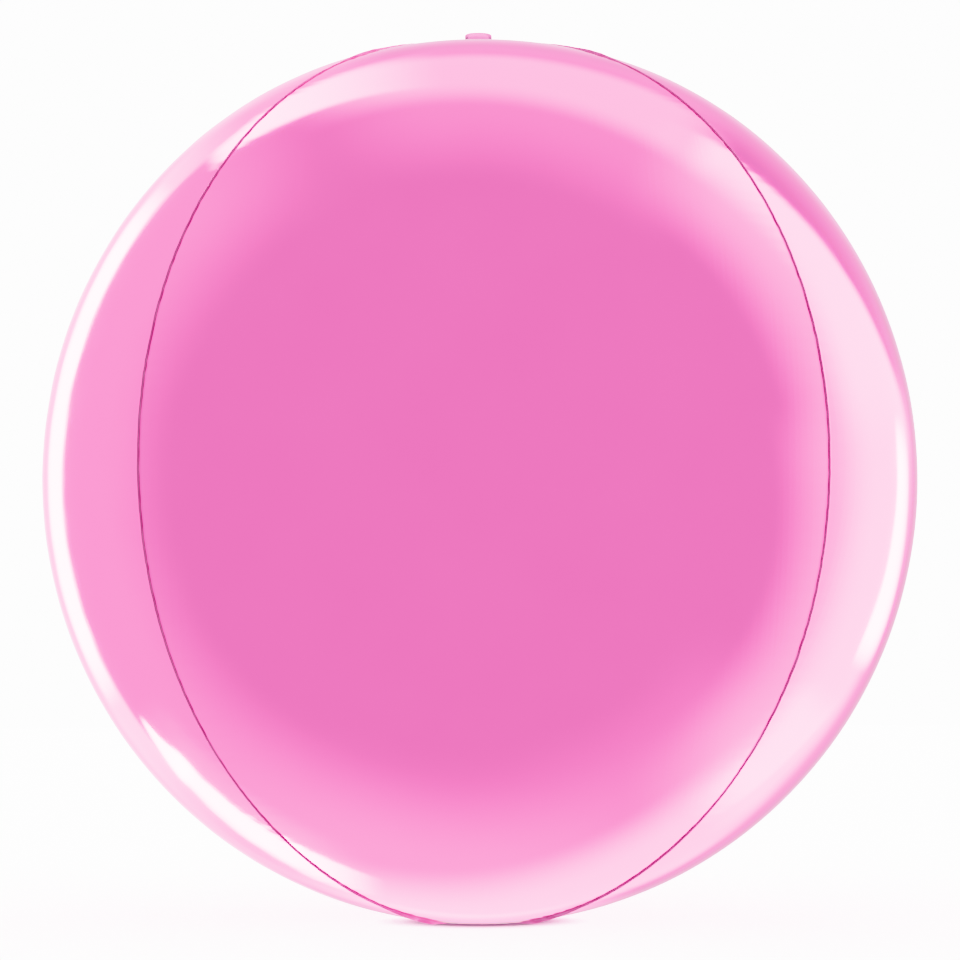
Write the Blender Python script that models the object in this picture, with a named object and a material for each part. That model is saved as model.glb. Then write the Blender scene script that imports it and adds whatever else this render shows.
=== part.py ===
"""A sphere foil balloon: four film gores sealed edge to edge along upright seams, with a hanging tab on its top pole.

Metres, +Z up. The origin is on the upright axis at the small flat spot that the balloon rests on, and -Y is the front.
The balloon is sealed, so each gore is one solid quarter of it, from the axis out to its film. Both edges of a gore end
in a thin fin: its half of the flange where two gores are sealed face to face.
"""

import math

import bmesh
import bpy
from mathutils import Vector

# The ball
WIDTH = 0.390
RISE_ABOVE_WAIST = 0.1987
DROP_BELOW_WAIST = 0.1982
TOP_FLATTENED = 0.0026
TOP_FLATTENING_POWER = 12
REST_SPOT_RADIUS = 0.0200

# How far the seams leave the round: proud of the gore middles at the waist, drawn in at the poles
SEAM_PROUD = 0.019
SEAM_DRAWN_IN_ABOVE = 0.024
SEAM_DRAWN_IN_BELOW = 0.067

# The sealed flange
FLANGE_WIDTH = 0.0015
FLANGE_HALF_THICKNESS = 0.00035
FLANGE_END_RADIUS = 0.0070
FLANGE_FULL_RADIUS = 0.0160

# The hanging tab
TAB_WIDTH = 0.0122
TAB_LENGTH = 0.0104
TAB_THICKNESS = 0.0007
TAB_CORNER_RADIUS = 0.0040
TAB_LEAN = math.radians(40)
TAB_HOLE_RADIUS = 0.0015
TAB_HOLE_FROM_ROOT = 0.0038

# Clearance and fineness
GAP = 0.0003
GORE_NAMES = ("gore_front", "gore_right", "gore_back", "gore_left")
HALF_GORE = math.radians(45)
LEVELS = 34
FIRST_LEVELS = (math.radians(0.9), math.radians(1.9), math.radians(3.2))
ARC_STEPS = 16
CORNER_STEPS = 5
HOLE_STEPS = 24

# What follows from them
GORE_SHIFT = GAP / 2 / math.sin(HALF_GORE)
MIDDLE_RADIUS = WIDTH / 2 - GORE_SHIFT
REST_LATITUDE = -math.acos(REST_SPOT_RADIUS / MIDDLE_RADIUS)
WAIST_HEIGHT = -DROP_BELOW_WAIST * math.sin(REST_LATITUDE)
TOP_HEIGHT = WAIST_HEIGHT + RISE_ABOVE_WAIST - TOP_FLATTENED

FOIL_PINK = (0.847, 0.181, 0.515, 1.0)


def film_point(latitude, turn):
    """A point on one gore's film. Turn is the angle from the gore's middle, which lies along +X."""
    up = latitude > 0
    drawn_in = SEAM_DRAWN_IN_ABOVE if up else SEAM_DRAWN_IN_BELOW
    towards_seam = (math.sin(turn) / math.sin(HALF_GORE)) ** 2
    share = 1 + (SEAM_PROUD - drawn_in * math.sin(latitude) ** 4) * towards_seam
    radius = MIDDLE_RADIUS * math.cos(latitude) * share
    height = WAIST_HEIGHT + (RISE_ABOVE_WAIST if up else DROP_BELOW_WAIST) * math.sin(latitude)
    if up:
        height -= TOP_FLATTENED * math.sin(latitude) ** TOP_FLATTENING_POWER
    return Vector((radius * math.cos(turn), radius * math.sin(turn), height))


def flange_width(root, outward):
    """The flange's width where its root is: it runs out near the top pole, and lies flat on what the balloon rests on."""
    distance = math.hypot(root.x, root.y)
    share = (distance - FLANGE_END_RADIUS) / (FLANGE_FULL_RADIUS - FLANGE_END_RADIUS)
    width = FLANGE_WIDTH
    if root.z > WAIST_HEIGHT:
        width *= min(max(share, 0.0), 1.0)
    if outward.z < 0:
        width = min(width, root.z / -outward.z)
    return width


def edge_points(latitude, side):
    """The flange's outer and inner tip, and the turn at which the film starts, on one edge of the gore."""
    turn = side * HALF_GORE
    root = film_point(latitude, turn)
    step = math.radians(0.5)
    along = film_point(latitude + step, turn) - film_point(latitude - step, turn)
    across = Vector((math.sin(turn), -math.cos(turn), 0.0))
    outward = along.cross(across).normalized()
    outer = root + outward * flange_width(root, outward)
    distance = math.hypot(root.x, root.y)
    film_turn = turn - side * math.asin(min(FLANGE_HALF_THICKNESS / distance, 0.5))
    inner = outer + across * side * FLANGE_HALF_THICKNESS
    return outer, inner, film_turn


def gore_ring(latitude):
    """The gore's outline at one level: the axis, one flange, the film and the other flange."""
    height = film_point(latitude, 0.0).z
    outer_low, inner_low, first = edge_points(latitude, -1)
    outer_high, inner_high, last = edge_points(latitude, 1)
    film = [film_point(latitude, first + (last - first) * i / ARC_STEPS) for i in range(ARC_STEPS + 1)]
    return [Vector((0.0, 0.0, height)), outer_low, inner_low, *film, inner_high, outer_high]


def gore_latitudes():
    """Levels from the flat spot to just under the top pole, closer together where the flange starts."""
    last = math.acos(FLANGE_END_RADIUS / MIDDLE_RADIUS)
    first = REST_LATITUDE + FIRST_LEVELS[-1]
    near = [REST_LATITUDE] + [REST_LATITUDE + rise for rise in FIRST_LEVELS[:-1]]
    return near + [first + (last - first) * i / LEVELS for i in range(LEVELS + 1)]


def make_gore_mesh():
    """One gore as a closed solid: rings bridged from the flat spot to the top pole."""
    bm = bmesh.new()
    rings = [[bm.verts.new(point) for point in gore_ring(latitude)] for latitude in gore_latitudes()]
    pole = bm.verts.new((0.0, 0.0, TOP_HEIGHT))
    count = len(rings[0])
    bm.faces.new(list(reversed(rings[0])))
    for below, above in zip(rings, rings[1:]):
        for i in range(count):
            j = (i + 1) % count
            bm.faces.new((below[i], below[j], above[j], above[i]))
    for i in range(count):
        bm.faces.new((rings[-1][i], rings[-1][(i + 1) % count], pole))
    bmesh.ops.remove_doubles(bm, verts=bm.verts, dist=0.00001)
    bmesh.ops.recalc_face_normals(bm, faces=bm.faces)
    mesh = bpy.data.meshes.new("gore")
    bm.to_mesh(mesh)
    bm.free()
    mesh.shade_smooth()
    mesh.set_sharp_from_angle(angle=math.radians(30))
    return mesh


def make_material(name, colour, metallic, roughness):
    material = bpy.data.materials.new(name)
    material.use_nodes = True
    shader = material.node_tree.nodes["Principled BSDF"]
    shader.inputs["Base Color"].default_value = colour
    shader.inputs["Metallic"].default_value = metallic
    shader.inputs["Roughness"].default_value = roughness
    return material


def make_gores(material):
    """Four gores round the axis. Each stands off it by half the gap that keeps neighbours apart."""
    mesh = make_gore_mesh()
    mesh.materials.append(material)
    for i, name in enumerate(GORE_NAMES):
        facing = math.radians(90 * i - 90)
        gore = bpy.data.objects.new(name, mesh)
        gore.location = (GORE_SHIFT * math.cos(facing), GORE_SHIFT * math.sin(facing), 0.0)
        gore.rotation_euler = (0.0, 0.0, facing)
        bpy.context.scene.collection.objects.link(gore)


def tab_outline():
    """The tab's outline in its own plane, root edge on y = 0, with its two far corners rounded."""
    half = TAB_WIDTH / 2
    points = [(half, 0.0)]
    for centre_x, start in ((half - TAB_CORNER_RADIUS, 0.0), (TAB_CORNER_RADIUS - half, 90.0)):
        for i in range(CORNER_STEPS + 1):
            angle = math.radians(start + 90.0 * i / CORNER_STEPS)
            points.append((
                centre_x + TAB_CORNER_RADIUS * math.cos(angle),
                TAB_LENGTH - TAB_CORNER_RADIUS + TAB_CORNER_RADIUS * math.sin(angle),
            ))
    return points + [(-half, 0.0)]


def hole_outline():
    turns = [math.tau * i / HOLE_STEPS for i in range(HOLE_STEPS)]
    return [(TAB_HOLE_RADIUS * math.cos(a), TAB_HOLE_FROM_ROOT + TAB_HOLE_RADIUS * math.sin(a)) for a in turns]


def make_tab(material):
    """The hanging tab: a flat plate with a hole, leaning back from the top pole."""
    curve = bpy.data.curves.new("hanging_tab", "CURVE")
    curve.dimensions = "2D"
    curve.fill_mode = "BOTH"
    curve.extrude = TAB_THICKNESS / 2
    for outline in (tab_outline(), hole_outline()):
        spline = curve.splines.new("POLY")
        spline.points.add(len(outline) - 1)
        for point, (x, y) in zip(spline.points, outline):
            point.co = (x, y, 0.0, 1.0)
        spline.use_cyclic_u = True
    curve.materials.append(material)
    tab = bpy.data.objects.new("hanging_tab", curve)
    lowest_edge = TAB_THICKNESS / 2 * math.sin(TAB_LEAN)
    tab.location = (0.0, 0.0, TOP_HEIGHT + GAP + lowest_edge)
    tab.rotation_euler = (math.radians(90) - TAB_LEAN, 0.0, 0.0)
    bpy.context.scene.collection.objects.link(tab)


def main():
    for obj in list(bpy.data.objects):
        bpy.data.objects.remove(obj)
    make_gores(make_material("pink_foil", FOIL_PINK, 1.0, 0.15))
    make_tab(make_material("tab_foil", FOIL_PINK, 1.0, 0.20))


main()
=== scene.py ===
# %% [markdown]
# # A sphere foil balloon
#
# The real thing is four gores of metallised film, sealed edge to edge and blown up tight, with a
# small hanging tab on the top pole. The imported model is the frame: it says where every piece is.
# Here each piece gets its looks. All lengths are in metres, +Z is up, and -Y is the front. MM turns
# millimetres to metres.

# %% Load the frame
import math

import bpy
import numpy as np
from mathutils import Matrix, Vector, noise


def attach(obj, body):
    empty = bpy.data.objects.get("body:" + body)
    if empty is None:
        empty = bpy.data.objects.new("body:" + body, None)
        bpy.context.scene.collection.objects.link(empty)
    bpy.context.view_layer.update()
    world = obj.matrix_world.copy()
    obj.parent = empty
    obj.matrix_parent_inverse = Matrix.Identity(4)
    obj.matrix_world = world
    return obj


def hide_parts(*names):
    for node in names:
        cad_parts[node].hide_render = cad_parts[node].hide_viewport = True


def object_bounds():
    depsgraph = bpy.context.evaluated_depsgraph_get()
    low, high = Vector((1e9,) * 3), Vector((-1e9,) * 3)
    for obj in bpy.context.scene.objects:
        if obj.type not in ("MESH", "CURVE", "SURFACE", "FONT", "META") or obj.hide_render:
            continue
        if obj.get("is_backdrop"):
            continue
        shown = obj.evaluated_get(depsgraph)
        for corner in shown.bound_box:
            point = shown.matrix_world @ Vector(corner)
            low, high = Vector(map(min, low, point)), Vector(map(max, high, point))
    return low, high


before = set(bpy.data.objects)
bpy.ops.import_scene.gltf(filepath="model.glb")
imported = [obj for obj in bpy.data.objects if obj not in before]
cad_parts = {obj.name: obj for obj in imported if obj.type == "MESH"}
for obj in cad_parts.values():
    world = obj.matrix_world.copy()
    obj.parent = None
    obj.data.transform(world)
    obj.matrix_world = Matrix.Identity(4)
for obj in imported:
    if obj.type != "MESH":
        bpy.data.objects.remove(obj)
cad_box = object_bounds()
MM = 0.001


def in_mm(length):
    """A length as text, for what the cells print."""
    return f"{length / MM:.3g} mm"


print("pieces in the frame:", sorted(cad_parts))


# %% [markdown]
# ## The camera
#
# The photograph looks slightly up at the balloon, from a little below its waist and a hand's
# breadth to the left of straight ahead. The places where the seams cross the outline fix that. The
# lens is long, so the ball is hardly distorted.

# %% The camera
WAIST = Vector((0.0, 0.0, 0.197152))
CAMERA_DISTANCE = 1.4625
CAMERA_BELOW = math.radians(3.71)
CAMERA_LEFT = math.radians(0.73)
CAMERA_ROLL = math.radians(-0.20)
CAMERA_LENS_MM = 121.95

TOWARDS_CAMERA = Vector((
    -math.sin(CAMERA_LEFT) * math.cos(CAMERA_BELOW),
    -math.cos(CAMERA_LEFT) * math.cos(CAMERA_BELOW),
    -math.sin(CAMERA_BELOW),
))


def make_camera():
    camera = bpy.data.objects.new("camera", bpy.data.cameras.new("camera"))
    camera.data.lens = CAMERA_LENS_MM
    camera.location = WAIST + TOWARDS_CAMERA * CAMERA_DISTANCE
    straight = (-TOWARDS_CAMERA).to_track_quat("-Z", "Y").to_matrix()
    camera.rotation_euler = (straight @ Matrix.Rotation(CAMERA_ROLL, 3, "Z")).to_euler()
    bpy.context.scene.collection.objects.link(camera)
    bpy.context.scene.camera = camera
    return camera


camera = make_camera()
print("camera at", [round(x, 3) for x in camera.location])


# %% [markdown]
# ## The shape of the film
#
# A gore is flat film before it is blown up. Blown up, its middle is round, its edges stand a little
# proud at the waist and are drawn in at the poles, and the top is a little flat. The numbers repeat
# the ones that the CAD is built from, so the film lies where the solid is. A formula for one point
# of film is enough: film and seams both come from it. How far a seam stands proud or is drawn in is
# a share of the radius.

# %% The measures of the balloon
RADIUS = 195.0 * MM
RISE_ABOVE_WAIST = 198.7 * MM
DROP_BELOW_WAIST = 198.2 * MM
TOP_FLATTENED = 2.6 * MM
TOP_FLATTENING_POWER = 12
SEAM_PROUD = 0.019
SEAM_DRAWN_IN_ABOVE = 0.024
SEAM_DRAWN_IN_BELOW = 0.067
SEAM_DRAWN_IN_POWER = 4
HALF_GORE = math.radians(45)
TOP_POLE = WAIST.z + RISE_ABOVE_WAIST - TOP_FLATTENED


def film_points(latitude, turn):
    """Points of film, by latitude and by turn from the gore's middle, which lies along +X."""
    up = latitude > 0
    drawn_in = np.where(up, SEAM_DRAWN_IN_ABOVE, SEAM_DRAWN_IN_BELOW)
    towards_seam = (np.sin(turn) / math.sin(HALF_GORE)) ** 2
    share = 1 + (SEAM_PROUD - drawn_in * np.sin(latitude) ** SEAM_DRAWN_IN_POWER) * towards_seam
    radius = RADIUS * np.cos(latitude) * share
    height = WAIST.z + np.where(up, RISE_ABOVE_WAIST, DROP_BELOW_WAIST) * np.sin(latitude)
    height = height - TOP_FLATTENED * np.where(up, np.sin(latitude), 0.0) ** TOP_FLATTENING_POWER
    return np.stack([radius * np.cos(turn), radius * np.sin(turn), height], -1)


print("top pole:", in_mm(TOP_POLE), "up")


# %% [markdown]
# ## Puckers, gathers and ripples
#
# Flat film can't wrap a ball without spare length along its edges. The spare length gathers in
# short puckers that start at the seam and run out within a finger's breadth. They are shallow on a
# tight balloon, and deeper towards the poles. At a pole itself the points of four gores gather in
# creases that fan out from it. Each seam has its own row of puckers, and the two gores that meet
# there share it. They could be a bump in the material, but real relief keeps its shape in any
# light. The seeds fix the random draws, so each run makes the same balloon.

# %% Puckers along a seam
PUCKER_PITCH = 6.5 * MM
PUCKER_REACH = 7.0 * MM
PUCKER_DEPTH_WAIST = 0.028 * MM
PUCKER_DEPTH_POLE = 0.09 * MM
PUCKER_POLE_ZONE = 55.0 * MM
PUCKER_FREE_POLE = 28.0 * MM
PUCKER_CHANGE = 3 * PUCKER_PITCH
PUCKER_WANDER = 0.35
PUCKER_LEAST = 0.25
PUCKER_SEED = 40


def pucker_row(seam, along):
    """How far the film stands out at one seam, for distances along it from the bottom."""
    rng = np.random.default_rng(PUCKER_SEED + seam)
    length = along[-1]
    knots = np.linspace(0, length, int(length / PUCKER_CHANGE))
    wander = np.interp(along, knots, rng.uniform(-PUCKER_WANDER, PUCKER_WANDER, len(knots)))
    strength = np.interp(along, knots, rng.uniform(PUCKER_LEAST, 1.0, len(knots)))
    wave = np.cos(2 * math.pi * (along / PUCKER_PITCH + wander))
    from_pole = np.minimum(along, length - along)
    near_pole = np.exp(-((from_pole / PUCKER_POLE_ZONE) ** 2))
    strength *= 1 - np.exp(-((from_pole / PUCKER_FREE_POLE) ** 4))
    depth = PUCKER_DEPTH_WAIST + (PUCKER_DEPTH_POLE - PUCKER_DEPTH_WAIST) * near_pole
    return wave * strength * depth


print("puckers:", in_mm(PUCKER_PITCH), "apart, at most", in_mm(PUCKER_DEPTH_POLE), "deep")


# %% Gathers round the poles
GATHER_DEPTH = 0.13 * MM
GATHER_START = 3.0 * MM
GATHER_END = 24.0 * MM
GATHERS = ((17, 0.4), (26, 2.1), (39, 4.0))


def gathers(heading, distance):
    """Creases that fan out from a pole, by the compass heading and the distance from the axis."""
    fan = sum(np.cos(count * heading + start) for count, start in GATHERS) / len(GATHERS)
    zone = np.exp(-((distance / GATHER_END) ** 2)) * (1 - np.exp(-((distance / GATHER_START) ** 2)))
    return fan * zone * GATHER_DEPTH


print("gathers: at most", in_mm(GATHER_DEPTH), "deep")


# %% Slow ripples of the tight film
RIPPLE_SIZE = 60.0 * MM
RIPPLE_DEPTH = 0.09 * MM


def ripple(points):
    """How far each of an array of points stands out for the film's slow unevenness."""
    flat = [noise.noise(Vector(point) / RIPPLE_SIZE) for point in points.reshape(-1, 3)]
    return np.array(flat).reshape(points.shape[:-1]) * RIPPLE_DEPTH


print("ripples: about", in_mm(RIPPLE_SIZE), "from crest to crest")


# %% [markdown]
# ## The seams
#
# Where two gores meet, their edges are heat-sealed face to face and stand out as a thin flange. On
# a round balloon the flange's free edge is longer than the seam it stands on, so it waves a little
# from side to side. It is under 1 mm at the waist, narrower towards the top pole and widest
# underneath, and where the balloon rests it is pressed flat. Each gore carries its half of both
# flanges, and the two halves stand a hair apart, so that no faces coincide. The widths are pairs:
# so many mm from the upright axis, so many mm wide.

# %% The flange at each row
FLANGE_ABOVE = (
    (7.0, 0.0), (16.0, 0.45), (60.0, 0.5), (66.0, 0.85),
    (75.0, 0.85), (86.0, 0.35), (115.0, 0.6), (190.0, 0.8),
)
FLANGE_BELOW = ((0.0, 1.5), (35.0, 1.5), (62.0, 0.75), (150.0, 0.65), (180.0, 0.8))
FLANGE_WIDEST = 1.5 * MM
FLANGE_HALF = 0.06 * MM
FLANGE_LEAST = 0.02 * MM
FLANGE_OFF_FLOOR = 0.1 * MM
FLANGE_WAVE = 0.38 * MM
FLANGE_WAVE_PITCH = 5.0 * MM
FLANGE_WAVE_SMOOTHING = 5
FLANGE_WAVE_SEED = 70
SEAL_HALF_GAP = 0.012 * MM
SLOPE_STEP = math.radians(0.5)


def unit(vectors):
    return vectors / np.linalg.norm(vectors, axis=-1, keepdims=True)


def along_seam(latitudes):
    """The distance along a seam from its lower end."""
    points = film_points(latitudes, np.full_like(latitudes, HALF_GORE))
    steps = np.linalg.norm(np.diff(points, axis=0), axis=1)
    return np.concatenate([[0], np.cumsum(steps)])


def flange_wave(seam, along):
    """How far the flange's free edge leans to one side. Both halves of a flange lean together."""
    rng = np.random.default_rng(FLANGE_WAVE_SEED + seam)
    knots = np.arange(0, along[-1] + FLANGE_WAVE_PITCH, FLANGE_WAVE_PITCH / 2)
    lean = rng.uniform(-1, 1, len(knots))
    smooth = np.interp(along, knots, lean)
    window = np.hanning(FLANGE_WAVE_SMOOTHING)
    return np.convolve(smooth, window / window.sum(), "same") * FLANGE_WAVE


def width_from(pairs, distance):
    """The flange's width at distances from the axis, from pairs of distance and width in mm."""
    return np.interp(distance, [pair[0] * MM for pair in pairs], [pair[1] * MM for pair in pairs])


def flange_at(latitudes, side, lean):
    """The seam's root, the way to the flange's free edge, the way into the gore, and the width."""
    turn = np.full_like(latitudes, side * HALF_GORE)
    root = film_points(latitudes, turn)
    along = film_points(latitudes + SLOPE_STEP, turn) - film_points(latitudes - SLOPE_STEP, turn)
    across = np.array([math.sin(HALF_GORE), -side * math.cos(HALF_GORE), 0.0])
    outward = unit(np.cross(along, across)) * side
    distance = np.hypot(root[:, 0], root[:, 1])
    above = root[:, 2] > WAIST.z
    width = np.where(above, width_from(FLANGE_ABOVE, distance), width_from(FLANGE_BELOW, distance))
    down = outward[:, 2] < 0
    room = np.maximum(root[down, 2] - FLANGE_OFF_FLOOR, 0) / -outward[down, 2]
    width[down] = np.minimum(width[down], room)
    width = np.maximum(width, FLANGE_LEAST)
    sideways = (side * lean * width / FLANGE_WIDEST)[:, None] * across
    return root, outward * width[:, None] + sideways, across, width


print("flange: at most", in_mm(FLANGE_WIDEST), "wide")


# %% [markdown]
# ## The gores
#
# Each gore is a closed quarter of the ball, built ring by ring from the bottom pole to the top one.
# A ring runs from the axis out along the sealed face, over the rim of the flange, down its outside,
# through a small fillet into the film, across the film and back the same way on the other side. The
# rows are close together, so that the puckers have a shape of their own, and the columns crowd
# towards the seams, where the detail is. Near a pole the seam's thickness would take the whole
# ring, so its share of the ring is held down there, and the fillet shrinks with the flange.

# %% The film of one gore
GORES = (("gore_front", 0), ("gore_right", 1), ("gore_back", 2), ("gore_left", 3))
ROWS = 760
COLUMNS = 40
CROWDING = 0.8
RIPPLE_SHIFT = 0.2


def facing(number):
    """The heading of a gore's middle. The first gore looks to the front."""
    return math.radians(90 * number - 90)


def seam_of(number, side):
    """Which of the seams is at a gore's side. Side 1 of one gore is side -1 of the next."""
    return (number + (side > 0)) % len(GORES)


def gore_film(number, latitudes, along, distance, last_turn):
    """The outside of one gore, as rows by points by 3, with its middle along +X."""
    even = np.linspace(-1, 1, COLUMNS + 1)
    spread = np.sin(even * math.pi / 2) * CROWDING + even * (1 - CROWDING)
    turn = last_turn[:, None] * spread[None, :]
    film = film_points(np.broadcast_to(latitudes[:, None], turn.shape), turn)
    out = unit(film - np.array(WAIST))
    stand = ripple(film + out * RIPPLE_SHIFT * number)
    stand = stand + gathers(turn + facing(number), distance[:, None])
    for side in (-1, 1):
        from_seam = (HALF_GORE - side * turn) * distance[:, None]
        row = pucker_row(seam_of(number, side), along)
        stand += row[:, None] * np.exp(-from_seam / PUCKER_REACH)
    return film + out * stand[..., None]


print("a gore's film:", ROWS, "rows of", COLUMNS + 1, "points")


# %% The sealed edge of one gore
FILLET = 0.12 * MM
FILLET_STEPS = 3
FLANGE_PER_FILLET = 4
FLANGE_STEPS = (0.75, 0.5, 0.25)


def edge_points(end, tip, across, fillet):
    """Points over the flange's rim, down its outside and through the fillet to the film's end."""
    seal = end - across * (fillet + FLANGE_HALF - SEAL_HALF_GAP)[:, None]
    wall = end - across * fillet[:, None]
    bend = unit(tip) * fillet[:, None]
    points = [seal + tip, wall + tip, *[wall + tip * share for share in FLANGE_STEPS]]
    for i in range(FILLET_STEPS, 0, -1):
        angle = math.pi / 2 * i / FILLET_STEPS
        inward = across * (fillet * math.sin(angle))[:, None]
        points.append(end - inward + bend * (1 - math.cos(angle)))
    return points


print("a sealed edge:", 2 + len(FLANGE_STEPS) + FILLET_STEPS, "points on each row")


# %% The rings of one gore
END_LATITUDE = 89.7
SEAM_TURN_LIMIT = 0.4
REST_BLEND = 0.5 * MM


def soft_floor(height):
    """Film that rests on a surface leaves it in a smooth bend, not at a corner."""
    return (height + np.sqrt(height**2 + REST_BLEND**2)) / 2


def gore_rings(number):
    """The rings of one gore, as rows by points by 3, and how many points come before the film."""
    latitudes = np.radians(np.linspace(-END_LATITUDE, END_LATITUDE, ROWS))
    along = along_seam(latitudes)
    flanges = [
        flange_at(latitudes, side, flange_wave(seam_of(number, side), along)) for side in (-1, 1)
    ]
    root, _, _, width = flanges[1]
    distance = np.hypot(root[:, 0], root[:, 1])
    fillet = FILLET * np.minimum(width / FILLET / FLANGE_PER_FILLET, 1)
    seam_turn = np.arcsin(np.minimum((FLANGE_HALF + fillet) / distance, SEAM_TURN_LIMIT))
    film = gore_film(number, latitudes, along, distance, HALF_GORE - seam_turn)
    edges = [
        edge_points(end, tip, across, fillet)
        for end, (_, tip, across, _) in zip((film[:, 0], film[:, -1]), flanges)
    ]
    axis = np.stack([np.full(ROWS, SEAL_HALF_GAP), np.zeros(ROWS), film[:, COLUMNS // 2, 2]], -1)
    rings = np.stack([axis, *edges[0], *film.transpose(1, 0, 2), *reversed(edges[1])], 1)
    rings[..., 2] = soft_floor(rings[..., 2])
    turned = Matrix.Rotation(facing(number), 3, "Z")
    return rings @ np.array(turned).T, len(edges[0])


print("rings run to", END_LATITUDE, "degrees of latitude, at both poles")


# %% A piece of film as an object
SHARP = math.radians(35)


def film_piece(name, points, faces, flat, on_edge):
    """A mesh object. Flat is each point's place on flat film. Edge faces get material 2."""
    mesh = bpy.data.meshes.new(f"film_{name}")
    mesh.from_pydata(points.tolist(), [], faces)
    corners = np.zeros(len(mesh.loops), dtype=np.int32)
    mesh.loops.foreach_get("vertex_index", corners)
    layer = mesh.uv_layers.new(name="Film")
    layer.data.foreach_set("uv", flat[corners].astype(np.float32).ravel())
    mesh.polygons.foreach_set("material_index", np.array(on_edge, dtype=np.int32))
    mesh.shade_smooth()
    mesh.set_sharp_from_angle(angle=SHARP)
    piece = bpy.data.objects.new(f"film_{name}", mesh)
    bpy.context.scene.collection.objects.link(piece)
    return piece


print("edges stay sharp from", round(math.degrees(SHARP)), "degrees")


# %% The four gores
POLE_LIFT = 0.01 * MM


def film_map(rings):
    """Each point's place on flat film: across from the gore's middle, and along from the bottom."""
    middle = rings.shape[1] // 2
    steps_across = np.diff(rings, axis=1, prepend=rings[:, :1])
    across = np.cumsum(np.linalg.norm(steps_across, axis=2), axis=1)
    across -= across[:, middle:middle + 1]
    steps_up = np.diff(rings[:, middle], axis=0, prepend=rings[:1, middle])
    up = np.cumsum(np.linalg.norm(steps_up, axis=1))
    return np.stack([across, np.repeat(up[:, None], rings.shape[1], 1)], -1)


def gore_faces(rows, count, edge_count):
    """Faces between the rings and at both poles, and which of them belong to a seal."""
    faces, on_seal = [], []
    for row in range(rows - 1):
        for i in range(count):
            j = (i + 1) % count
            start, above = row * count, (row + 1) * count
            faces.append((start + i, start + j, above + j, above + i))
            on_seal.append(i <= edge_count or i >= count - edge_count - 1)
    for i in range(count):
        j = (i + 1) % count
        last = (rows - 1) * count
        faces += [(rows * count, j, i), (rows * count + 1, last + i, last + j)]
        on_seal += [False, False]
    return faces, on_seal


def make_gore(name, number):
    rings, edge_count = gore_rings(number)
    bottom, top = rings[0, 0].copy(), rings[-1, 0].copy()
    top[2] += POLE_LIFT
    points = np.concatenate([rings.reshape(-1, 3), [bottom, top]])
    flat = film_map(rings)
    flat = np.concatenate([flat.reshape(-1, 2), [[0, 0], [0, flat[-1, 0, 1]]]])
    faces, on_seal = gore_faces(*rings.shape[:2], edge_count)
    return film_piece(name, points, faces, flat, on_seal)


gores = [make_gore(name, number) for name, number in GORES]
print("gores:", [(gore.name, len(gore.data.polygons)) for gore in gores])


# %% [markdown]
# ## Colours and nodes
#
# Colours are written as sRGB hex, as a paint chart gives them, and one function turns them to the
# linear numbers that shaders work in. One more starts a material, and the last adds a node with its
# settings and its links.

# %% Helpers for materials
def colour(hex_code):
    """Linear RGBA from sRGB hex."""
    parts = [int(hex_code[i:i + 2], 16) / 255 for i in (1, 3, 5)]
    return (*[c / 12.92 if c <= 0.04045 else ((c + 0.055) / 1.055) ** 2.4 for c in parts], 1.0)


def new_material(name):
    """A material, its node tree and its shader."""
    material = bpy.data.materials.new(name)
    material.use_nodes = True
    return material, material.node_tree, material.node_tree.nodes["Principled BSDF"]


def add_node(tree, kind, settings=None, **inputs):
    """Adds a node. An input is a value, a socket or a node, and in0 is the first input."""
    node = tree.nodes.new(kind)
    for key, value in (settings or {}).items():
        setattr(node, key, value)
    for key, value in inputs.items():
        numbered = key.startswith("in") and key[2:].isdigit()
        socket = node.inputs[int(key[2:])] if numbered else node.inputs[key.replace("_", " ")]
        if isinstance(value, bpy.types.Node):
            value = value.outputs[0]
        if isinstance(value, bpy.types.NodeSocket):
            tree.links.new(value, socket)
        else:
            socket.default_value = value
    return node


print("mid grey, linear:", round(colour("#808080")[0], 3))


# %% [markdown]
# ## The film
#
# The film is clear PET or nylon, metallised with aluminium and printed pink. The eye sees a mirror
# that is tinted, under a clear skin that adds a white reflection of its own towards the edges. So
# it is a metal with a pink base, and a thin coat with the index of PET, 1.64. The rolling mill
# leaves faint lines along the film, the ink is not quite even, and stretched film has a very slight
# haze, which varies by a fifth from patch to patch. The lines are really finer than the 2.5 mm
# drawn here, which is as fine as the picture can show.

# %% Metallised PET film
FILM_PINK = colour("#F882C9")
FILM_PINK_THICK = colour("#F37DC4")
FILM_EDGE_TINT = colour("#FCC7EA")
ROLLER_LINE = 2.5 * MM
ROLLER_LINE_STRETCH = 80
ROLLER_LINE_DEPTH = 0.02 * MM
ROLLER_LINE_STRENGTH = 0.6
INK_CLOUD = 45.0 * MM
HAZE_PATCH = 18.0 * MM
HAZE_RANGE = (0.3, 0.7)
HAZE_SPREAD = 0.2
FILM_ROUGHNESS = 0.08
PET_IOR = 1.64
PET_SKIN_WEIGHT = 0.3
PET_SKIN_ROUGHNESS = 0.04


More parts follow.
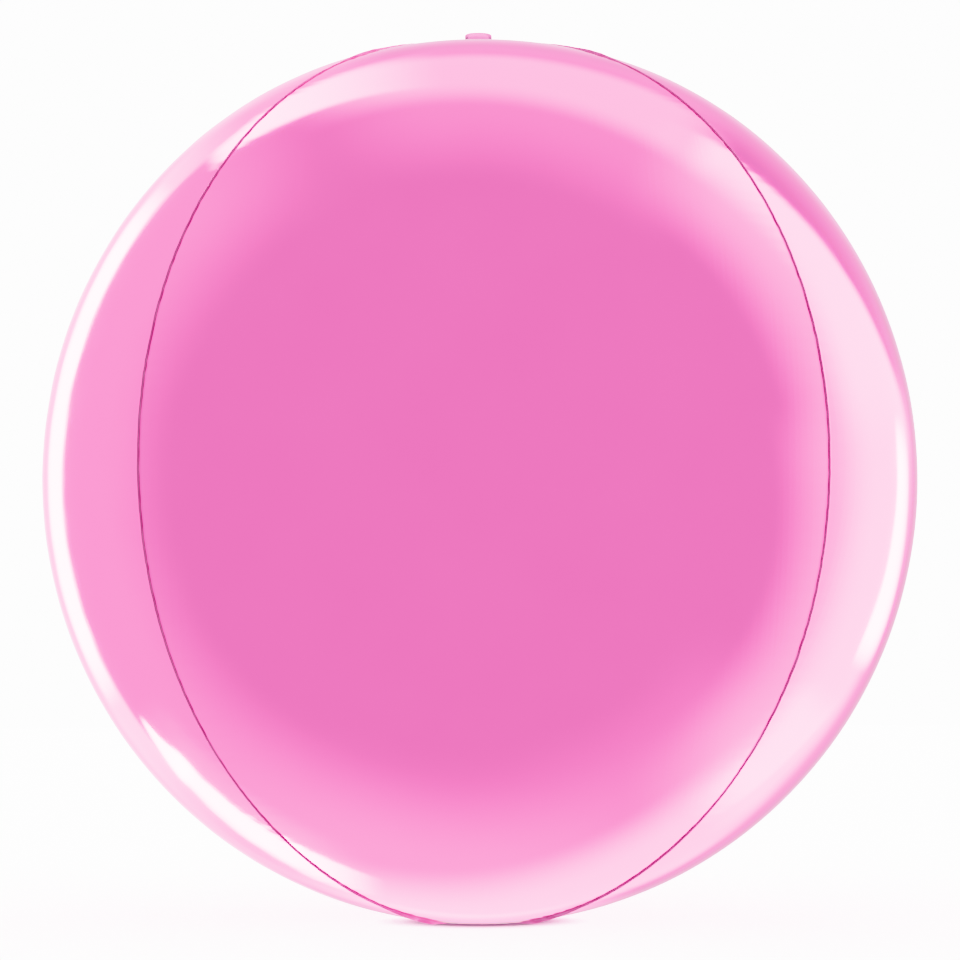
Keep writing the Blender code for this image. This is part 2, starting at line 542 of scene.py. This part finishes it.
def metallised_pet(name, base, base_thick, roughness):
    material, tree, shader = new_material(name)
    film = add_node(tree, "ShaderNodeUVMap", {"uv_map": "Film"}).outputs["UV"]
    clouds = add_node(tree, "ShaderNodeTexNoise", Vector=film, Scale=1 / INK_CLOUD, Detail=3.0)
    ink = add_node(
        tree, "ShaderNodeMix", {"data_type": "RGBA"},
        in0=clouds.outputs["Fac"], in6=base, in7=base_thick,
    )
    haze = add_node(tree, "ShaderNodeTexNoise", Vector=film, Scale=1 / HAZE_PATCH, Detail=4.0)
    gloss = add_node(
        tree, "ShaderNodeMapRange", Value=haze.outputs["Fac"],
        From_Min=HAZE_RANGE[0], From_Max=HAZE_RANGE[1],
        To_Min=roughness * (1 - HAZE_SPREAD), To_Max=roughness * (1 + HAZE_SPREAD),
    )
    stretch = (1 / ROLLER_LINE, 1 / (ROLLER_LINE * ROLLER_LINE_STRETCH), 1)
    lines = add_node(tree, "ShaderNodeMapping", Vector=film, Scale=stretch)
    streaks = add_node(
        tree, "ShaderNodeTexNoise", Vector=lines.outputs["Vector"], Scale=1.0, Detail=2.0,
    )
    bump = add_node(
        tree, "ShaderNodeBump", Height=streaks.outputs["Fac"],
        Strength=ROLLER_LINE_STRENGTH, Distance=ROLLER_LINE_DEPTH,
    )
    tree.links.new(ink.outputs[2], shader.inputs["Base Color"])
    tree.links.new(gloss.outputs["Result"], shader.inputs["Roughness"])
    tree.links.new(bump.outputs["Normal"], shader.inputs["Normal"])
    tree.links.new(bump.outputs["Normal"], shader.inputs["Coat Normal"])
    shader.inputs["Metallic"].default_value = 1.0
    shader.inputs["Specular Tint"].default_value = FILM_EDGE_TINT
    shader.inputs["Coat Weight"].default_value = PET_SKIN_WEIGHT
    shader.inputs["Coat IOR"].default_value = PET_IOR
    shader.inputs["Coat Roughness"].default_value = PET_SKIN_ROUGHNESS
    return material


pink_film = metallised_pet("pink_metallised_pet", FILM_PINK, FILM_PINK_THICK, FILM_ROUGHNESS)
print("film:", pink_film.name)


# %% [markdown]
# ## The heat-sealed edge
#
# The sealing bar melts the two films together and crimps them. The metal layer breaks up there, so
# the seal is a dull mid pink, half metal and half plastic, with fine ribs across it where the bar
# had grooves. The tab's border gets a darker copy of the seal, and its darker pink is painted
# shade, for the shade at the tab's cupped ends. A wave texture of scale 1 repeats every pi / 10,
# so that is divided by the ribs' pitch.

# %% Heat-sealed PET
SEAL_PINK = colour("#DA8DBB")
SEAL_PINK_WORN = colour("#CE7DAF")
# Painted shade: a darker pink for the tab's border, standing in for the shade at its cupped ends.
PAINTED_SHADE_PINK = colour("#A45586")
PAINTED_SHADE_PINK_PATCHES = colour("#924574")
SEAL_RIB = 0.8 * MM
SEAL_RIB_DEPTH = 0.05 * MM
SEAL_RIB_STRENGTH = 0.5
SEAL_RIB_WANDER = 0.6
SEAL_PATCH = 6 * SEAL_RIB
SEAL_METALLIC = 0.5
SEAL_ROUGHNESS = 0.42
WAVE_REPEAT = math.pi / 10


def heat_sealed_pet(name, base, base_worn):
    material, tree, shader = new_material(name)
    film = add_node(tree, "ShaderNodeUVMap", {"uv_map": "Film"}).outputs["UV"]
    patches = add_node(tree, "ShaderNodeTexNoise", Vector=film, Scale=1 / SEAL_PATCH, Detail=3.0)
    ink = add_node(
        tree, "ShaderNodeMix", {"data_type": "RGBA"},
        in0=patches.outputs["Fac"], in6=base, in7=base_worn,
    )
    ribs = add_node(
        tree, "ShaderNodeTexWave", {"bands_direction": "Y"}, Vector=film,
        Scale=WAVE_REPEAT / SEAL_RIB, Distortion=SEAL_RIB_WANDER,
    )
    bump = add_node(
        tree, "ShaderNodeBump", Height=ribs.outputs["Fac"],
        Strength=SEAL_RIB_STRENGTH, Distance=SEAL_RIB_DEPTH,
    )
    tree.links.new(ink.outputs[2], shader.inputs["Base Color"])
    tree.links.new(bump.outputs["Normal"], shader.inputs["Normal"])
    shader.inputs["Metallic"].default_value = SEAL_METALLIC
    shader.inputs["Roughness"].default_value = SEAL_ROUGHNESS
    return material


sealed_edge = heat_sealed_pet("heat_sealed_pet", SEAL_PINK, SEAL_PINK_WORN)
# Painted shade: a darker copy of the seal, for the tab's border.
painted_shade_edge = heat_sealed_pet("crimped_pet", PAINTED_SHADE_PINK, PAINTED_SHADE_PINK_PATCHES)
for gore, (name, _) in zip(gores, GORES):
    gore.data.materials.append(pink_film)
    gore.data.materials.append(sealed_edge)
    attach(gore, "root")
    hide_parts(name)
print("film on", len(gores), "gores, seals of", sealed_edge.name, "and", painted_shade_edge.name)


# %% [markdown]
# ## The hanging tab
#
# Two films are sealed flat to each other and cut to a small tongue with a hole, for a thread. Film
# is springy, so the tongue cups from side to side and leans further back towards its tip. It is
# drawn flat first: rings of points run from the hole's edge out to the tongue's outline. Then each
# point is laid on the bent surface, in front and behind. The edges of the hole and of the outline
# get a slight bead, which fades out within a ring or two. The last few rings, except at the root,
# get a darker pink that is painted shade.

# %% The tab laid flat
TAB_WIDTH = 12.2 * MM
TAB_LENGTH = 11.6 * MM
TAB_CORNER = 3.0 * MM
TAB_HOLE = 1.5 * MM
TAB_HOLE_UP = 3.8 * MM
TAB_SPOKES = 96
TAB_RINGS = 14
LEVEL = 1e-9
FAR = 1.0


def to_tab_edge(angle):
    """The distance from the hole's centre to the tongue's outline, at an angle from the right."""
    x, y = math.cos(angle), math.sin(angle)
    half, above = TAB_WIDTH / 2, TAB_LENGTH - TAB_HOLE_UP
    reach = half / abs(x) if abs(x) > LEVEL else FAR
    if y < 0:
        return min(reach, TAB_HOLE_UP / -y)
    reach = min(reach, above / y if y > LEVEL else FAR)
    corner = (half - TAB_CORNER, above - TAB_CORNER)
    if abs(x) * reach > corner[0] and y * reach > corner[1]:
        middle = abs(x) * corner[0] + y * corner[1]
        reach = middle + math.sqrt(middle**2 - corner[0] ** 2 - corner[1] ** 2 + TAB_CORNER**2)
    return reach


def flat_tab():
    """Rings of points from the hole to the outline, by spokes, by 2. The root is at y = 0."""
    angles = np.linspace(0, 2 * math.pi, TAB_SPOKES, endpoint=False)
    edge = np.array([to_tab_edge(angle) for angle in angles])
    shares = np.linspace(0, 1, TAB_RINGS)[:, None]
    reach = TAB_HOLE + (edge - TAB_HOLE) * shares
    return np.stack([reach * np.cos(angles), TAB_HOLE_UP + reach * np.sin(angles)], -1)


print("tab:", TAB_RINGS * TAB_SPOKES, "points a side")


# %% The tab bent and thickened
TAB_HALF = 0.12 * MM
TAB_BEAD = 0.05 * MM
TAB_BEAD_FADE = 1.2
TAB_LEAN_ROOT = math.radians(12)
TAB_LEAN_TIP = math.radians(64)
TAB_CUP_RADIUS = 36.0 * MM
TAB_CUP_FULL_UP = 0.4 * TAB_LENGTH
TAB_LEAST_ANGLE = 1e-6
TAB_SINK = 0.3 * MM


def bend_tab(points, lift):
    """Lays flat points on the bent tongue, lifted off its middle surface towards its front."""
    x, y = points[..., 0], points[..., 1]
    rate = (TAB_LEAN_TIP - TAB_LEAN_ROOT) / TAB_LENGTH
    lean = TAB_LEAN_ROOT + rate * y
    back = (math.cos(TAB_LEAN_ROOT) - np.cos(lean)) / rate
    up = (np.sin(lean) - math.sin(TAB_LEAN_ROOT)) / rate
    cup = np.clip(y / TAB_CUP_FULL_UP, 0, 1)
    angle = x / TAB_CUP_RADIUS * cup * cup * (3 - 2 * cup) + TAB_LEAST_ANGLE
    radius = x / angle
    drop = radius * (1 - np.cos(angle))
    front = np.stack([np.zeros_like(lean), -np.cos(lean), np.sin(lean)], -1)
    side = np.array([1.0, 0.0, 0.0])
    normal = front * np.cos(angle)[..., None] + side * np.sin(angle)[..., None]
    place = np.stack([radius * np.sin(angle), back, up + TOP_POLE - TAB_SINK], -1)
    return place - front * drop[..., None] + normal * np.asarray(lift)[..., None]


print("tab: leans back", round(math.degrees(TAB_LEAN_TIP)), "degrees at its tip")


# %% The tab as a mesh
# The tab's last rings carry the painted shade, except near the root.
PAINTED_SHADE_RINGS = 4
PAINTED_SHADE_FROM = -0.35


def tab_faces():
    """Faces in front and behind, round the hole and the outline, and which carry painted shade."""
    back, last = TAB_RINGS * TAB_SPOKES, (TAB_RINGS - 1) * TAB_SPOKES
    faces, crimped = [], []
    for i in range(TAB_SPOKES):
        j = (i + 1) % TAB_SPOKES
        free_edge = math.sin(math.tau * i / TAB_SPOKES) > PAINTED_SHADE_FROM
        for ring in range(TAB_RINGS - 1):
            a, b = ring * TAB_SPOKES, (ring + 1) * TAB_SPOKES
            faces.append((a + i, b + i, b + j, a + j))
            faces.append((back + a + j, back + b + j, back + b + i, back + a + i))
            crimped += [free_edge and ring >= TAB_RINGS - 1 - PAINTED_SHADE_RINGS] * 2
        faces.append((i, j, back + j, back + i))
        faces.append((last + j, last + i, back + last + i, back + last + j))
        crimped += [False, free_edge]
    return faces, crimped


def make_tab():
    flat = flat_tab()
    ring_number = np.arange(TAB_RINGS)
    from_edge = np.minimum(ring_number, TAB_RINGS - 1 - ring_number)
    near_edge = np.exp(-from_edge / TAB_BEAD_FADE)
    lift = np.repeat((TAB_HALF + TAB_BEAD * near_edge)[:, None], TAB_SPOKES, 1)
    sheets = [bend_tab(flat, lift), bend_tab(flat, -lift)]
    points = np.concatenate([sheet.reshape(-1, 3) for sheet in sheets])
    places = np.concatenate([flat.reshape(-1, 2)] * 2)
    faces, crimped = tab_faces()
    return film_piece("hanging_tab", points, faces, places, crimped)


tab = make_tab()
tab.data.materials.append(sealed_edge)
# The tab's second material is the painted shade on its border.
tab.data.materials.append(painted_shade_edge)
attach(tab, "root")
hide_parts("hanging_tab")
print("tab top:", in_mm(max(v.co.z for v in tab.data.vertices)), "up")


# %% [markdown]
# ## The floor
#
# The balloon lies on pale paper. The photograph's ball reflects no floor, so the paper is for the
# camera alone: glossy and diffuse rays don't see it. It glows, so that it is as even and as white
# as in the photograph, and a glowing sheet takes no shadow. So the small shading under the balloon
# comes from ambient occlusion, which darkens the paper where something stands close above it. Matt
# paper gives the eye hardly any gloss, so it is rough, with a low specular level.

# %% White paper
PAPER_GREY = colour("#8C8C8C")
PAPER_ROUGHNESS = 0.9
PAPER_SPECULAR = 0.2
PAPER_GLOW = 3.4
CONTACT_SHADOW = 5.0 * MM
CONTACT_SHADOW_RAYS = 8


def white_paper():
    material, tree, shader = new_material("white_paper")
    shader.inputs["Base Color"].default_value = PAPER_GREY
    shader.inputs["Roughness"].default_value = PAPER_ROUGHNESS
    shader.inputs["Specular IOR Level"].default_value = PAPER_SPECULAR
    shader.inputs["Emission Color"].default_value = (1, 1, 1, 1)
    open_air = add_node(
        tree, "ShaderNodeAmbientOcclusion", {"samples": CONTACT_SHADOW_RAYS},
        Distance=CONTACT_SHADOW,
    )
    glow = add_node(
        tree, "ShaderNodeMath", {"operation": "MULTIPLY"},
        in0=open_air.outputs["AO"], in1=PAPER_GLOW,
    )
    tree.links.new(glow.outputs["Value"], shader.inputs["Emission Strength"])
    return material


paper = white_paper()
print("floor finish:", paper.name)


# %% The floor
FLOOR_RADIUS = 8.0
FLOOR_POINTS = 96


def make_floor():
    turns = [math.tau * i / FLOOR_POINTS for i in range(FLOOR_POINTS)]
    rim = [(FLOOR_RADIUS * math.cos(turn), FLOOR_RADIUS * math.sin(turn), 0.0) for turn in turns]
    mesh = bpy.data.meshes.new("floor")
    mesh.from_pydata(rim, [], [list(range(FLOOR_POINTS))])
    mesh.materials.append(paper)
    floor = bpy.data.objects.new("floor", mesh)
    bpy.context.scene.collection.objects.link(floor)
    floor.visible_glossy = False
    floor.visible_diffuse = False
    return floor


floor = make_floor()
floor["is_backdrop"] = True
print("floor:", FLOOR_RADIUS, "m in radius")


# %% [markdown]
# ## The light tent
#
# Round the balloon stands a light tent: even white cloth, with lamps and windows behind it. A
# glossy ball shows all of that. Lamps and cards could be built, but each reflection would then have
# to be aimed by trial. So the tent is painted on the world as a mirror ball shows it: by where on a
# ball each direction would be seen from the front. The camera sees a plain white backdrop in its
# place.
#
# Each lamp or window is a patch on the mirror ball. The angles run round the ball, from 0 at its
# right through 90 at its top, and the reaches run from 0 at its centre to 1 at its rim. Four of
# each say where the patch begins, where it is full, where it starts to fall off and where it has
# ended. A slant is how much further out a patch's inner or outer edge lies for each radian round
# the ball. Each row gives a patch's name, glow, angles, reaches and slants.

# %% The patches of the light tent
CLOTH = 1.04
BACKDROP_WHITE = 3.8
TENT = (
    ("right wall, low", 3.2, (-68, -42, 2, 16), (0.615, 0.79, 0.942, 0.981), (-0.05, 0.015)),
    ("right window, low", 7.2, (-60, -48, 2, 16), (0.78, 0.89, 0.940, 0.972), (0, 0.018)),
    ("low right window", 5.5, (-60, -47, -37, -30), (0.82, 0.868, 0.921, 0.934), (0.03, 0.08)),
    ("right wall, high", 3.4, (2, 16, 48, 66), (0.635, 0.80, 0.921, 0.941), (0.02, -0.085)),
    ("right window, high", 9.5, (2, 16, 54, 60), (0.78, 0.88, 0.918, 0.934), (0, -0.085)),
    ("right strip lamp", 85, (-27, -20, 1, 9), (0.930, 0.938, 0.946, 0.971), (0.025, -0.012)),
    ("right backdrop", 0.5, (-75, -60, 14, 40), (0.940, 0.955, 0.968, 0.985), (0, 0)),
    ("ceiling", 0.8, (50, 62, 95, 118), (0.62, 0.80, 0.95, 0.975), (0.05, 0)),
    ("top panel", 4.0, (51, 63, 100, 118), (0.80, 0.862, 0.925, 0.950), (0.04, 0.01)),
    ("top lamp", 26, (94, 124, 127, 132), (0.892, 0.905, 0.930, 0.948), (0.075, -0.03)),
    ("top backdrop", 0.32, (20, 40, 100, 125), (0.925, 0.965, 0.985, 0.995), (0, 0)),
    ("top left backdrop", 1.9, (100, 116, 126, 142), (0.932, 0.954, 0.985, 0.997), (0, 0)),
    ("left wall", 1.25, (110, 138, 270, 310), (0.625, 0.855, 0.945, 0.97), (0, 0)),
    ("table", 7.0, (225, 258, 298, 316), (0.82, 0.93, 0.960, 0.977), (-0.10, -0.015)),
    ("table, near", 4.0, (248, 262, 278, 292), (0.955, 0.967, 0.975, 0.990), (0, 0)),
    ("table edge", 0.65, (220, 255, 310, 330), (0.54, 0.82, 0.957, 0.974), (-0.05, 0)),
    ("left strip lamp", 90, (136, 150, 200, 212), (0.938, 0.946, 0.963, 0.978), (0, 0)),
    ("low left lamp", 90, (220, 225, 238, 256), (0.901, 0.910, 0.930, 0.948), (0, 0.04)),
    ("low left lamp, tip", 90, (214, 218, 223, 227), (0.909, 0.913, 0.928, 0.938), (-0.09, 0.09)),
    ("low left haze", 1.6, (212, 224, 242, 254), (0.84, 0.89, 0.93, 0.95), (0, 0)),
    ("left bounce", 9, (122, 142, 214, 246), (0.931, 0.941, 0.967, 0.987), (0, 0)),
    ("left backdrop", 2.4, (110, 150, 230, 260), (0.965, 0.985, 0.990, 0.997), (0, 0)),
)
print("patches:", len(TENT), "on cloth that glows", CLOTH)


# %% [markdown]
# At each place of a mirror ball, the surface faces halfway between the camera and the direction
# that it reflects. So the place that shows a direction is found by adding the two and making the
# sum one unit long. How far it lies to the right and upward gives its heading and its reach.

# %% From a direction to a place on the ball
MATHS = "ShaderNodeMath"
VECTOR_MATHS = "ShaderNodeVectorMath"


def mirror_ball(tree):
    """The heading and the reach of the place on the ball that shows each direction."""
    right = Vector((0, 0, 1)).cross(TOWARDS_CAMERA).normalized()
    up = TOWARDS_CAMERA.cross(right)
    way = add_node(tree, "ShaderNodeTexCoord").outputs["Generated"]
    both = add_node(tree, VECTOR_MATHS, {"operation": "ADD"}, in0=way, in1=TOWARDS_CAMERA)
    ball = add_node(tree, VECTOR_MATHS, {"operation": "NORMALIZE"}, in0=both)
    parts, squares = [], []
    for axis in (right, up):
        dot = add_node(tree, VECTOR_MATHS, {"operation": "DOT_PRODUCT"}, in0=ball, in1=axis)
        part = dot.outputs["Value"]
        parts.append(part)
        squares.append(add_node(tree, MATHS, {"operation": "MULTIPLY"}, in0=part, in1=part))
    total = add_node(tree, MATHS, {"operation": "ADD"}, in0=squares[0], in1=squares[1])
    reach = add_node(tree, MATHS, {"operation": "SQRT"}, in0=total)
    heading = add_node(tree, MATHS, {"operation": "ARCTAN2"}, in0=parts[1], in1=parts[0])
    return heading, reach


print("towards the camera:", [round(x, 3) for x in TOWARDS_CAMERA])


# %% One patch of light
def add_patch(tree, heading, reach, total, patch):
    """Adds the glow of one patch to the total. It is a wedge of angles times a band of reaches."""
    name, glow, angles, reaches, slants = patch
    middle = math.radians(angles[1] + angles[2]) / 2
    begins, full, falls, ends = [math.radians(angle) - middle for angle in angles]
    turn = add_node(tree, MATHS, {"operation": "SUBTRACT"}, in0=heading, in1=middle)
    turn = add_node(tree, MATHS, {"operation": "WRAP"}, in0=turn, in1=math.pi, in2=-math.pi)
    edges = [reach, reach]
    for i, slant in enumerate(slants):
        if slant:
            edges[i] = add_node(
                tree, MATHS, {"operation": "MULTIPLY_ADD"}, in0=turn, in1=-slant, in2=reach,
            )
    ramps = []
    for value, start, end, low, high in (
        (turn, begins, full, 0, 1),
        (turn, falls, ends, 1, 0),
        (edges[0], reaches[0], reaches[1], 0, 1),
        (edges[1], reaches[2], reaches[3], glow, 0),
    ):
        ramps.append(add_node(
            tree, "ShaderNodeMapRange", {"interpolation_type": "SMOOTHSTEP"},
            Value=value, From_Min=start, From_Max=end, To_Min=low, To_Max=high,
        ))
    wedge = add_node(tree, MATHS, {"operation": "MULTIPLY"}, in0=ramps[0], in1=ramps[1])
    inside = add_node(tree, MATHS, {"operation": "MULTIPLY"}, in0=wedge, in1=ramps[2])
    total = add_node(
        tree, MATHS, {"operation": "MULTIPLY_ADD"}, in0=inside, in1=ramps[3], in2=total,
    )
    total.label = name
    return total


print("brightest patch glows", max(patch[1] for patch in TENT))


# %% The light tent as a world
def make_world():
    world = bpy.data.worlds.new("light_tent")
    bpy.context.scene.world = world
    world.use_nodes = True
    tree = world.node_tree
    tree.nodes.clear()
    heading, reach = mirror_ball(tree)
    glow = CLOTH
    for patch in TENT:
        glow = add_patch(tree, heading, reach, glow, patch)
    white = (1, 1, 1, 1)
    tent = add_node(tree, "ShaderNodeBackground", Color=white, Strength=glow)
    backdrop = add_node(tree, "ShaderNodeBackground", Color=white, Strength=BACKDROP_WHITE)
    seen = add_node(tree, "ShaderNodeLightPath").outputs["Is Camera Ray"]
    mix = add_node(tree, "ShaderNodeMixShader", in0=seen, in1=tent, in2=backdrop)
    add_node(tree, "ShaderNodeOutputWorld", Surface=mix)
    return len(tree.nodes)


print("light tent:", make_world(), "nodes")


# %% [markdown]
# The view transform turns light into the picture's colours. The default one greys strong colours.
# This one keeps them as they are up to near white, which suits a strong pink.

# %% The picture's colours
view = bpy.context.scene.view_settings
view.view_transform = "Khronos PBR Neutral"
print("view transform:", view.view_transform)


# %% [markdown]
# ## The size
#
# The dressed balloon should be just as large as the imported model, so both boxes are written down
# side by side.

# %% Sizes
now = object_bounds()
for title, box in (("cad", cad_box), ("visual", now)):
    print(title, [round(x, 4) for corner in box for x in corner])
